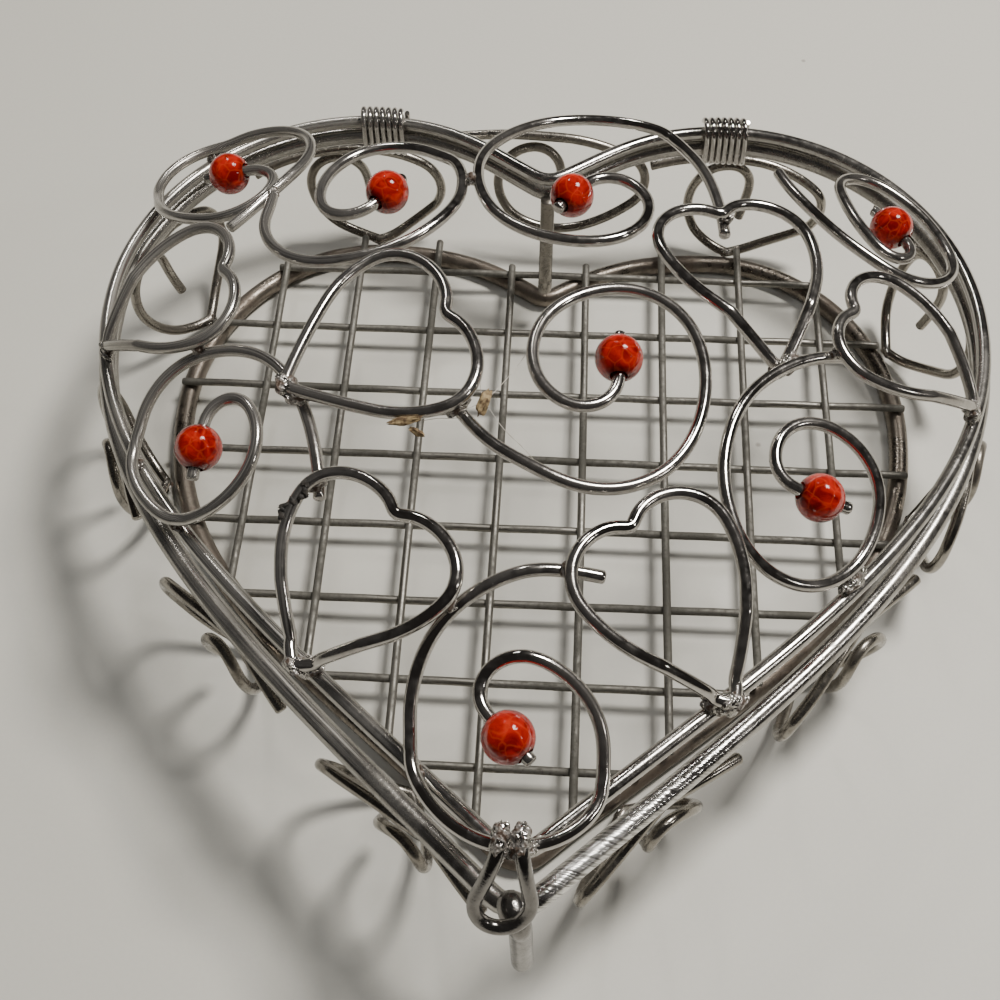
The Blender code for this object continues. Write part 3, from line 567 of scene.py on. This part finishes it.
def heart_line(number):
    """The closed line of a heart: two mirrored halves over the dome, notch and tip rounded off."""
    notch, turn, wide, tall, tip_drop = HEARTS[number]
    half = bent(np.zeros(2), HEART_HEADING, HEART_BENDS) * [wide, tall]
    half[-1, 0] = 0.0
    loop = np.vstack([half[::-1], (half * [-1, 1])[1:-1]])
    tip = loop[0]
    loop = spaced(loop, 180, True)
    soft = loop.copy()
    for _ in range(12):
        soft = (np.roll(soft, 1, axis=0) + 2 * soft + np.roll(soft, -1, axis=0)) / 4
    at_notch = np.exp(-(np.linalg.norm(loop, axis=1) / 3.0) ** 2)[:, None]
    at_tip = 0.6 * np.exp(-(np.linalg.norm(loop - tip, axis=1) / 1.2) ** 2)[:, None]
    rounded = np.maximum(at_notch, at_tip)
    loop = loop * (1 - rounded) + soft * rounded
    near = np.clip(1.0 - np.linalg.norm(loop - tip, axis=1) / TIP_SLOPE_LENGTH, 0.0, 1.0)
    c, s = np.cos(np.radians(turn)), np.sin(np.radians(turn))
    placed = np.stack([notch[0] + loop[:, 0] * c - loop[:, 1] * s,
                       notch[1] + loop[:, 0] * s + loop[:, 1] * c], 1)
    return on_dome(placed, LAYER - tip_drop * near)


def bead_surface(centre, axis):
    """A bead: a circle's arc from one mouth of the hole to the other, turned about the wire."""
    side = np.cross(axis, [0.0, 0.0, 1.0])
    side /= np.linalg.norm(side)
    other = np.cross(axis, side)
    mouth = np.arcsin(BEAD_HOLE / BEAD)
    a = np.linspace(mouth, np.pi - mouth, 30)
    along = np.concatenate([BEAD / 2 * np.cos(a), np.linspace(-1, 1, 10)[1:-1] * BEAD / 2 * np.cos(mouth)])
    away = np.concatenate([BEAD / 2 * np.sin(a), np.full(8, BEAD_HOLE / 2)])
    turns, rows = 44, len(along)
    around = 2 * np.pi * np.arange(turns) / turns
    ring = side * np.cos(around)[:, None] + other * np.sin(around)[:, None]
    points = centre + along[None, :, None] * axis + away[None, :, None] * ring[:, None]
    uv = np.stack(np.broadcast_arrays(np.arange(turns)[:, None] / turns, np.arange(rows)[None] / rows), -1)
    return points.reshape(-1, 3), grid_quads(turns, rows, True), [], uv.reshape(-1, 2)


def make_lid_wires():
    """The scrolls, hearts and beads of the lid."""
    for number in range(len(SCROLLS)):
        path, normal, middle, axis = scroll_line(number)
        path = hand_bent(eased(path), normal, LID_WAVER, number)
        name = f"lid_scroll_{number + 1}"
        LINES[name] = path
        make_piece(f"scroll_wire_{number + 1}", swept(path, SCROLL_WIRE, normal), BRIGHT, "lid", name)
        make_piece(f"red_bead_{number + 1}", bead_surface(middle, axis), RED, "lid", f"bead_{number + 1}")
    for number in range(len(HEARTS)):
        path, normal = heart_line(number)
        name = f"lid_heart_{number + 1}"
        LINES[name] = path
        make_piece(f"heart_wire_{number + 1}", swept(path, SCROLL_WIRE, normal, True), BRIGHT, "lid", name)


def make_rims():
    """The three heart-shaped rings, each a thicker wire closed on itself."""
    for name, outline, z, width, material, body, slot in (
            ("bottom_ring", BOTTOM_OUTLINE, BOTTOM_RING_Z + 0.1, BOTTOM_WIRE, BASE, "box", "aged_wire"),
            ("top_ring", OUTLINE, TOP_RING_Z, TOP_WIRE, RIM, "box", "bright_wire"),
            ("lid_ring", LID_OUTLINE, 0.0, LID_WIRE, LID_RIM, "lid", "bright_wire")):
        path = raised(spaced(outline, 420, True), z)
        path = opened(path) if name == "lid_ring" else path
        LINES[name] = path
        make_piece(name.replace("ring", "rim"), swept(path, width, (0, 0, 1), True, 20), material, body, name)


def crossings(ring, axis, place):
    """Where a straight line across the bottom ring meets it: the ring's steps that change side."""
    other = 1 - axis
    after = np.roll(ring, -1, axis=0)
    crosses = (ring[:, axis] - place) * (after[:, axis] - place) <= 0
    a, b = ring[crosses], after[crosses]
    share = (place - a[:, axis]) / np.where(b[:, axis] == a[:, axis], 1.0, b[:, axis] - a[:, axis])
    return a[:, other] + share * (b[:, other] - a[:, other])


def make_mesh_floor():
    """The welded mesh: two layers of straight wires, each a little bowed, sunk into each other."""
    parts = []
    for axis, centre, height in ((0, MESH_X, MESH_HIGH_Z), (1, MESH_Y, MESH_LOW_Z)):
        reach = int(HALF_WIDTH / MESH_PITCH) + 1
        for number in range(-reach, reach + 1):
            place = centre + number * MESH_PITCH
            ends = crossings(BOTTOM_OUTLINE, axis, place)
            if len(ends) < 2 or ends.max() - ends.min() < 2 * MESH_PITCH:
                continue
            run = np.linspace(ends.min() - MESH_OVERRUN, ends.max() + MESH_OVERRUN, 90)
            bow = MESH_BOW * np.sin(run / 21.0 + 1.7 * number + axis)
            dip = MESH_DIP * np.sin(run * 2 * np.pi / MESH_PITCH + axis)
            line = np.column_stack([place + bow, run, height + dip])
            parts.append(swept(line if axis == 0 else line[:, [1, 0, 2]], MESH_WIRE, (0, 0, 1), sides=12))
    make_piece("mesh_panel", joined(parts), ZINC, "box", "floor_mesh")


def wall_point(run, z):
    """The wall from beside the bottom ring to under the top ring, swelling by a half sine's root."""
    low_z = BOTTOM_RING_Z + CURL_WIRE / 2
    high_z = TOP_RING_Z - (TOP_WIRE + CURL_WIRE) / 2 - GAP
    share = ((z - low_z) / (high_z - low_z))[:, None]
    at = (run / HALF_RUN * (len(OUTLINE) // 2)) % len(OUTLINE)
    foot = BOTTOM_OUTLINE + outward(BOTTOM_OUTLINE) * ((BOTTOM_WIRE + CURL_WIRE) / 2 + GAP)
    swell = outward(OUTLINE) * CURL_BULGE
    index = np.arange(len(OUTLINE))
    low, high, out = (np.stack([np.interp(at, index, line[:, k], period=len(OUTLINE))
                                for k in (0, 1)], 1) for line in (foot, OUTLINE, swell))
    return np.column_stack([low * (1 - share) + high * share + out * np.sqrt(np.sin(np.pi * share)), z])


def curl_line(number):
    """A wall curl: its bends squared into a unit box, then stretched along and up the wall."""
    middle = CURL_COUNT // 2
    low_z = BOTTOM_RING_Z + CURL_WIRE / 2
    if number == middle:
        line = bent(np.array(BACK_START), 90, CURL_BENDS)
        share = (line[:, 1] - low_z) / (TOP_RING_Z - low_z)
        y = BACK_Y - BACK_FLARE * (1 - share) + BACK_BULGE * np.sin(np.pi / 2 * share)
        return spaced(np.column_stack([line[:, 0], y, line[:, 1]]), 190), np.array([0.0, 1.0, 0.2])
    pitch = 2 * HALF_RUN / CURL_COUNT
    headroom = 1.7 if abs(number - middle) == 1 else 0.0
    high_z = TOP_RING_Z - (TOP_WIRE + CURL_WIRE) / 2 - GAP - headroom
    line = bent(np.zeros(2), 90, CURL_BENDS) * [-1, 1]
    line = (line - line.min(0)) / (line.max(0) - line.min(0))
    run = (CURL_FIRST + number) * pitch + (line[:, 0] - 0.5) * CURL_SHARE * pitch
    points = spaced(wall_point(run, low_z + line[:, 1] * (high_z - low_z)), 170)
    return points, points - [0.0, DOME_Y, TOP_RING_Z / 2]


def make_wall():
    """The curls of the wall."""
    for number in range(CURL_COUNT):
        path, up = curl_line(number)
        name = f"wall_curl_{number + 1}"
        LINES[name] = path
        make_piece(f"curl_wire_{number + 1}", swept(hand_bent(path, up, WALL_WAVER, number), CURL_WIRE, up),
                   AGED, "box", name)


def make_coils():
    """The two coils: half circles round both rings joined by straight sides, wound along x."""
    for name, x in (("right", LOBE_X), ("left", COIL_LEFT_IN - LOBE_X)):
        a = np.linspace(np.pi / 8, np.pi / 8 + 2 * np.pi * COIL_TURNS, 40 * COIL_TURNS)
        upper = np.clip(0.5 + np.sin(a) * 2.2, 0.0, 1.0)
        radius = (TOP_WIRE + (LID_WIRE - TOP_WIRE) * upper) / 2 + COIL_CLEARANCE + COIL_WIRE / 2
        middle = TOP_RING_Z + (HINGE_Z - TOP_RING_Z) * upper
        along = x + COIL_PITCH * (a - a[0]) / (2 * np.pi) - COIL_PITCH * COIL_TURNS / 2
        off = (np.abs(along) - LOBE_X) / (HALF_WIDTH - LOBE_X)
        y = LOBE_Y + (HINGE_Y - LOBE_Y) * np.sqrt(1.0 - off ** 2) + radius * np.cos(a)
        path = np.stack([along, y, middle + radius * np.sin(a)], 1)
        make_piece(f"coil_{name}", swept(path, COIL_WIRE, (1, 0, 0), sides=12), BRIGHT, "box",
                   f"hinge_coil_{name}")


def make_catch():
    """The catch: a post that bends back over the ring and swells into a knob."""
    y = POINT_Y - (TOP_WIRE + CATCH_WIRE) / 2 - 2 * GAP
    low, high = np.array([CATCH_FOOT_X, y, CATCH_LOW_Z]), np.array([CATCH_TOP_X, y, KNOB_Z - CATCH_KNOB])
    post = low + (high - low) * np.linspace(0, 1, 16)[:, None]
    turn = bezier(high, (CATCH_TOP_X, y, KNOB_Z), (0, y, KNOB_Z), (-CATCH_X, POINT_Y, KNOB_Z), 24)
    path = spaced(np.vstack([post, turn[1:]]), CATCH_POINTS)
    run = np.linspace(0, 1, CATCH_POINTS)
    knob = CATCH_WIRE + (CATCH_KNOB - CATCH_WIRE) * np.clip((run - 0.72) / 0.16, 0, 1)
    close = np.sqrt(np.clip(1 - np.clip((run - 0.9) / 0.1, 0, 1) ** 2 * 0.75, 0, 1))
    foot = np.sqrt(np.clip(1 - np.clip((0.05 - run) / 0.05, 0, 1) ** 2 * 0.7, 0, 1))
    LINES["catch_post"] = path
    make_piece("catch_with_knob", swept(path, knob * close * foot, (1, 0, 0)), KNOB, "box", "catch_post")
    low = CUSP_Y - CUSP_FLARE - (BOTTOM_WIRE + POST_WIRE) / 2 - GAP
    high = CUSP_Y - (TOP_WIRE + POST_WIRE) / 2 - GAP
    top = TOP_RING_Z + POST_OVER_RING
    path = bezier((0, low, POST_LOW_Z), (0, low, top / 2), (0, high, top / 2), (0, high, top), 40)
    make_piece("upright_at_cusp", swept(path, POST_WIRE, (1, 0, 0)), AGED, "box", "cusp_post")


def make_hairpin():
    """The clasp: two prongs side by side and a round loop, one line mirrored about its middle."""
    front, half, spread = POINT_Y, CLASP_LOOP / 2, CLASP_SPREAD / 2
    a = np.radians(np.linspace(20, -90, 24))
    down = CLASP_DROP - half - half * np.sin(a)
    loop = np.stack([half * np.cos(a), front - CLASP_LEAN * down / CLASP_DROP, CLASP_FLAT - down], 1)
    prong = bezier((spread, front + PRONG_LENGTH, CLASP_FLAT), (spread, front + 1.0, CLASP_FLAT),
                   (spread, front - 0.2, CLASP_FLAT), tuple(loop[0]), 24)
    right = np.vstack([prong[:-1], loop])
    line = spaced(np.vstack([right, right[:-1][::-1] * [-1, 1, 1]]), 110)
    line[:, 0] += CLASP_X + CLASP_SIDEWAYS * (CLASP_FLAT - line[:, 2]) / CLASP_DROP
    out = np.tile([0.0, -CLASP_DROP, CLASP_LEAN], (len(line), 1))
    LINES["clasp_loop"] = opened(line)
    make_piece("hairpin_clasp", swept(opened(line), CLASP_WIRE, out), KNOB, "lid", "clasp_loop")


def lump(centre, axis, length, width, seed, rows=14, sides=18):
    """A lump of solder: an egg round an axis, its radius varied by three sines of the angles."""
    axis = np.asarray(axis, float) / np.linalg.norm(axis)
    side = np.cross(axis, [0.31, 0.17, 0.93])
    side /= np.linalg.norm(side)
    other = np.cross(axis, side)
    t = np.linspace(0.12, np.pi - 0.12, rows)[:, None]
    a = (2 * np.pi * np.arange(sides) / sides)[None]
    bumps = (1 + 0.13 * np.sin(3 * a + 2 * t + seed) + 0.1 * np.sin(5 * t - 2 * a + 1.7 * seed)
             + 0.07 * np.sin(7 * a + 3 * seed))
    along = length / 2 * np.cos(t) * bumps
    away = width / 2 * np.sin(t) * bumps
    points = (centre + along[..., None] * axis + (away * np.cos(a))[..., None] * side
              + (away * np.sin(a))[..., None] * other)
    end = (rows - 1) * sides
    caps = [list(range(sides)), list(range(end, end + sides))[::-1]]
    quads = grid_quads(rows, sides, False)
    uv = np.stack(np.broadcast_arrays(t / np.pi, a / (2 * np.pi)), -1).reshape(-1, 2)
    return points.reshape(-1, 3), quads[:, ::-1], [c[::-1] for c in caps], uv


def meeting(first, second, near):
    """Where two lines come closest round a place, and the first line's direction there."""
    a, b = LINES[first], LINES[second]
    a = a[np.linalg.norm(a[:, :2] - near, axis=1) < 9]
    b = b[np.linalg.norm(b[:, :2] - near, axis=1) < 9]
    apart = np.linalg.norm(a[:, None] - b[None], axis=2)
    i, j = np.unravel_index(apart.argmin(), apart.shape)
    i0, i1 = max(i - 1, 0), min(i + 1, len(a) - 1)
    return (a[i] + b[j]) / 2, a[i1] - a[i0]


# Each soldered meeting: the two lines, the place it is near, and the lump's length and width
JOINTS_LID = [
    ("lid_heart_1", "lid_ring", (-60, 8), 3.2, 2.1), ("lid_heart_1", "lid_scroll_6", (-46, 1), 1.6, 1.6),
    ("lid_heart_2", "lid_scroll_5", (-9, -11), 3.4, 1.8), ("lid_heart_2", "lid_scroll_6", (-30, -8), 3.6, 2.7),
    ("lid_heart_3", "lid_scroll_6", (-26, -21), 2.6, 2.0), ("lid_heart_3", "lid_scroll_8", (-8, -36), 1.6, 1.6),
    ("lid_heart_4", "lid_scroll_8", (5, -32), 2.2, 1.8), ("lid_heart_5", "lid_scroll_3", (24, 23), 2.2, 1.9),
    ("lid_heart_5", "lid_scroll_7", (31, 0), 2.8, 2.2), ("lid_heart_6", "lid_ring", (58, 3), 2.8, 2.1),
    ("lid_heart_6", "lid_scroll_7", (38, 3), 1.6, 1.6), ("lid_ring", "lid_scroll_1", (-51, 51), 2.6, 1.8),
    ("lid_ring", "lid_scroll_6", (-44, -20), 3.0, 1.8), ("lid_ring", "lid_scroll_6", (-51, -11), 2.2, 1.7),
    ("lid_ring", "lid_scroll_8", (8.7, -54), 1.6, 1.5), ("lid_ring", "lid_scroll_8", (-11, -53), 1.6, 1.5),
    ("lid_scroll_2", "lid_scroll_3", (-11, 30), 2.0, 1.8), ("lid_scroll_8", "clasp_loop", (-1.9, -60), 3.2, 2.6),
    ("lid_scroll_8", "clasp_loop", (1.2, -60), 3.0, 2.6), ("lid_heart_3", "lid_ring", (-29, -38), 3.4, 2.5),
    ("lid_heart_4", "lid_ring", (28, -38), 3.8, 2.4), ("lid_scroll_7", "lid_ring", (43, -20), 4.6, 2.2),
    ("lid_scroll_2", "lid_scroll_1", (-37, 37), 2.6, 1.8),
]


def make_solder():
    """Solder where wires meet: two or three lumps of different sizes at each meeting place."""
    parts = []
    for number, (first, second, near, length, width) in enumerate(JOINTS_LID):
        centre, axis = meeting(first, second, np.array(near, float))
        parts.append(lump(centre, axis, length, width, number))
        shift = np.array([0.5 * np.sin(2.1 * number), 0.5 * np.cos(1.3 * number), 0.25])
        parts.append(lump(centre + shift, axis + shift, length * 0.5, width * 0.75, number + 5, 10, 14))
    for number, size in enumerate((2.0, 2.7, 2.4, 2.7, 2.2, 2.2)):
        line = LINES[f"lid_heart_{number + 1}"]
        parts.append(lump(line[0] + [0, 0, -0.2], line[1] - line[-1], size * 1.25, size, number + 11))
    for place in (4, 8, -9, -5):
        line = LINES["clasp_loop"]
        parts.append(lump(line[place] + [0, 0, 0.1], line[place + 1] - line[place], 2.6, 2.0, place))
    make_piece("solder_on_lid", joined(parts), SOLDER, "lid", None)
    parts = []
    for number in range(CURL_COUNT):
        line = LINES[f"wall_curl_{number + 1}"]
        way, high, low = np.gradient(line, axis=0), line[:, 2].argmax(), line[:, 2].argmin()
        if abs(number - CURL_COUNT // 2) > 1:
            parts.append(lump(line[high] + [0, 0, 0.9], way[high], 3.2, 1.7, number))
        if number != CURL_COUNT // 2:
            parts.append(lump(line[low] - [0, 0, 0.1], way[low], 2.6, 1.6, number + 3))
    make_piece("solder_on_wall", joined(parts), SOLDER, "box", None)


def make_specks():
    """Crumbs of dry leaf and crust caught on the lid, and the dust threads that hold them."""
    husks, crusts, threads = [], [], []
    h2, s5, h3 = LINES["lid_heart_2"], LINES["lid_scroll_5"], LINES["lid_heart_3"]
    side, tail = h2[np.argmax(h2[:, 0])], s5[-12]
    caught = (h2[np.argmin(np.linalg.norm(h2[:, :2] - [-9.5, -8.5], axis=1))] + tail) / 2
    flake, shred = caught + [0.9, 0.8, 0.3], caught + [-8.4, -2.2, 0.1]
    husks.append(lump(flake, (0.3, 1, 0.2), 3.2, 1.4, 2))
    husks.append(lump(shred, (1, 0.2, 0.1), 3.6, 1.0, 4))
    husks.append(lump(shred + [1.6, -1.4, -0.2], (1, -0.6, 0.1), 2.0, 0.8, 9))
    for i, (a, b, sag) in enumerate(((shred, h2[40], 0.8), (flake, side, 0.5), (flake, s5[-30], 0.6),
                                     (shred, s5[-6], 0.2), (shred, h2[60], 1.2), (shred, flake, 0.6),
                                     (flake, s5[60], 1.5))):
        t = np.linspace(0, 1, 30)[:, None]
        line = a * (1 - t) + b * t - np.array([0, 0, sag]) * np.sin(np.pi * t) + 0.08 * np.sin(9 * t + i)
        threads.append(swept(line, 0.08, (0, 0.2, 1), sides=5))
    for number in range(30):
        spot = 128 + int(13 * np.modf(number * 0.618)[0])
        at, way = h3[spot], h3[spot + 1] - h3[spot]
        inward = np.cross(way, [0, 0, 1.0]) / np.linalg.norm(way)
        at = at + inward * (0.9 * np.sin(number * 2.4)) + [0, 0, 0.55 + 0.25 * np.cos(number * 1.9)]
        length = 0.95 + 0.4 * np.sin(number * 3.1)
        crusts.append(lump(at, way + 0.6 * inward * np.sin(number), length, 0.6, number, 7, 8))
    make_piece("dry_husks", joined(husks), HUSK, "lid", None)
    make_piece("dark_crust_on_heart", joined(crusts), SOOT, "lid", None)
    make_piece("dust_threads", joined(threads), THREAD, "lid", None)


def make_table():
    """A pale table top with faint mottling and a few specks, not part of the box."""
    made, tree, shader = new_material("pale_table")
    place = node(tree, "ShaderNodeTexCoord").outputs["Object"]
    broad = cloudy(tree, place, 9.0, 3.0)
    fine = cloudy(tree, place, 1400.0, 2.0)
    tone = maths(tree, "ADD", maths(tree, "MULTIPLY", broad, 0.6), maths(tree, "MULTIPLY", fine, 0.4))
    pale = blended(tree, tone, (0.54, 0.525, 0.47, 1), (0.62, 0.605, 0.545, 1))
    cells = node(tree, "ShaderNodeTexVoronoi", {"Vector": place, "Scale": 55.0}).outputs["Distance"]
    speck = between(tree, cells, 0.035, 0.02)
    tree.links.new(blended(tree, maths(tree, "MULTIPLY", speck, 0.6), pale, (0.2, 0.17, 0.14, 1)),
                   shader.inputs["Base Color"])
    shader.inputs["Roughness"].default_value = 0.55
    mesh = bpy.data.meshes.new("table_top")
    mesh.from_pydata([(-2, -2, 0), (2, -2, 0), (2, 2, 0), (-2, 2, 0)], [], [(0, 1, 2, 3)])
    top = bpy.data.objects.new("table_top", mesh)
    mesh.materials.append(made)
    bpy.context.scene.collection.objects.link(top)


def area_light(name, place, size, power, colour, mirrored=True):
    """A round soft light at a place, turned towards the box; a fill isn't mirrored in the wires."""
    data = bpy.data.lights.new(name, "AREA")
    data.shape = "DISK"
    data.size = size
    data.energy = power
    data.color = colour
    made = bpy.data.objects.new(name, data)
    made.location = place
    made.rotation_euler = (np.arctan2(np.hypot(place[0], place[1]), place[2]), 0.0,
                           np.arctan2(place[1], place[0]) + np.pi / 2)
    made.visible_glossy = mirrored
    bpy.context.scene.collection.objects.link(made)


def make_light():
    """Soft studio light: one key from the upper right, two small far lamps, a fill, a dim room."""
    area_light("key", (0.28, 0.23, 0.66), 0.2, 7.6, (1.0, 0.965, 0.91))
    area_light("fill", (-0.3, -0.3, 0.9), 0.9, 2.6, (0.95, 0.97, 1.0), False)
    area_light("far_lamp", (-0.25, 0.9, 0.9), 0.12, 1.5, (1.0, 0.97, 0.93))
    area_light("side_lamp", (0.9, -0.2, 0.6), 0.1, 0.7, (1.0, 0.95, 0.9))
    world = bpy.data.worlds.new("dim_room")
    world.use_nodes = True
    world.node_tree.nodes["Background"].inputs["Color"].default_value = (0.62, 0.56, 0.52, 1)
    world.node_tree.nodes["Background"].inputs["Strength"].default_value = 0.04
    bpy.context.scene.world = world


def make_camera():
    """The camera at the photograph's place and angle."""
    data = bpy.data.cameras.new("view")
    data.lens = 49.456
    data.sensor_width = 36.0
    data.clip_start = 0.01
    data.clip_end = 20.0
    made = bpy.data.objects.new("view", data)
    made.location = (0.001775, -0.107634, 0.179134)
    made.rotation_euler = tuple(np.radians([32.9133, 0.3903, 3.0277]))
    bpy.context.scene.collection.objects.link(made)
    bpy.context.scene.camera = made


make_rims()
make_mesh_floor()
make_wall()
make_coils()
make_catch()
make_hairpin()
make_lid_wires()
make_solder()
make_specks()
make_table()
make_light()
make_camera()
